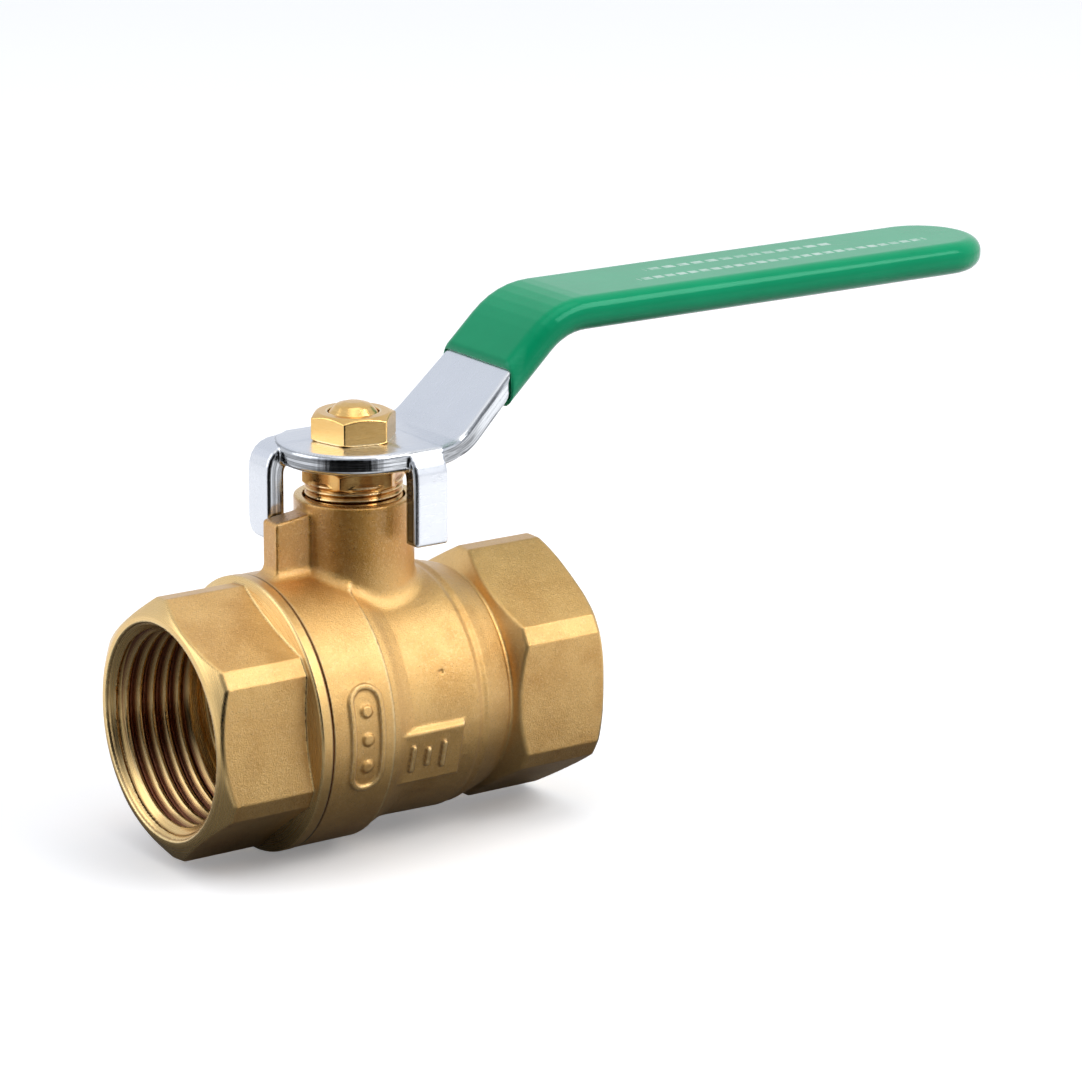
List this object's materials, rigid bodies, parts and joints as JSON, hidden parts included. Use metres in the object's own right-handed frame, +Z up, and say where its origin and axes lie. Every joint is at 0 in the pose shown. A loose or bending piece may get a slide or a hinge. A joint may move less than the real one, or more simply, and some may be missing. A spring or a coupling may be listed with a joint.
{
  "type": "lever operated ball valve",
  "caption": "Threaded brass pipe ball valve with a bent steel lever in a green vinyl grip; a quarter turn of the lever opens or shuts the ball inside.",
  "frame": {"origin": "bottom centre of the bounding box: the middle of the valve's overall length and width, on the plane its connector collar stands on. The ball's centre, where the pipe axis and the stem axis cross, is at (-0.04365, 0, 0.0217) m.", "axes": "+X along the pipe axis towards the body's own socket, which is also the way the lever points when the valve is open; +Y across the pipe; +Z up the stem"},
  "size_m": [0.1578, 0.0434, 0.0824],
  "materials": {
    "forged_brass": "blasted forging with turned end faces, satin",
    "polished_brass": "machined and bright",
    "chromed_ball": "mirror chrome on brass",
    "ptfe": "waxy white PTFE",
    "plated_steel": "bright zinc plate on rolled strip",
    "vinyl": "glossy dipped vinyl",
    "seal_rubber": "matte"
  },
  "bodies": {
    "valve_body": {"body": "forged_brass", "end_connector": "forged_brass", "body_seal_ring": "seal_rubber", "seat_ring_body_side": "ptfe", "seat_ring_connector_side": "ptfe", "stem_thrust_washer": "ptfe", "packing_ring_lower": "ptfe", "packing_ring_middle": "ptfe", "packing_ring_upper": "ptfe", "gland_nut": "polished_brass"},
    "lever_assembly": {"stem": "polished_brass", "lever": "plated_steel", "lever_grip": "vinyl", "handle_nut": "polished_brass"},
    "ball": {"ball": "chromed_ball"}
  },
  "joints": [
    {"name": "lever_turn", "type": "hinge", "parent": "valve_body", "child": "lever_assembly", "pos_m": [-0.04365, 0, 0.0217], "axis": [0, 0, 1], "range_deg": [-90, 0]},
    {"name": "ball_turn", "type": "hinge", "parent": "valve_body", "child": "ball", "pos_m": [-0.04365, 0, 0.0217], "axis": [0, 0, 1], "range_deg": [-90, 0]}
  ],
  "couplings": [
    {"joint": "ball_turn", "follows": "lever_turn", "ratio": 1}
  ]
}
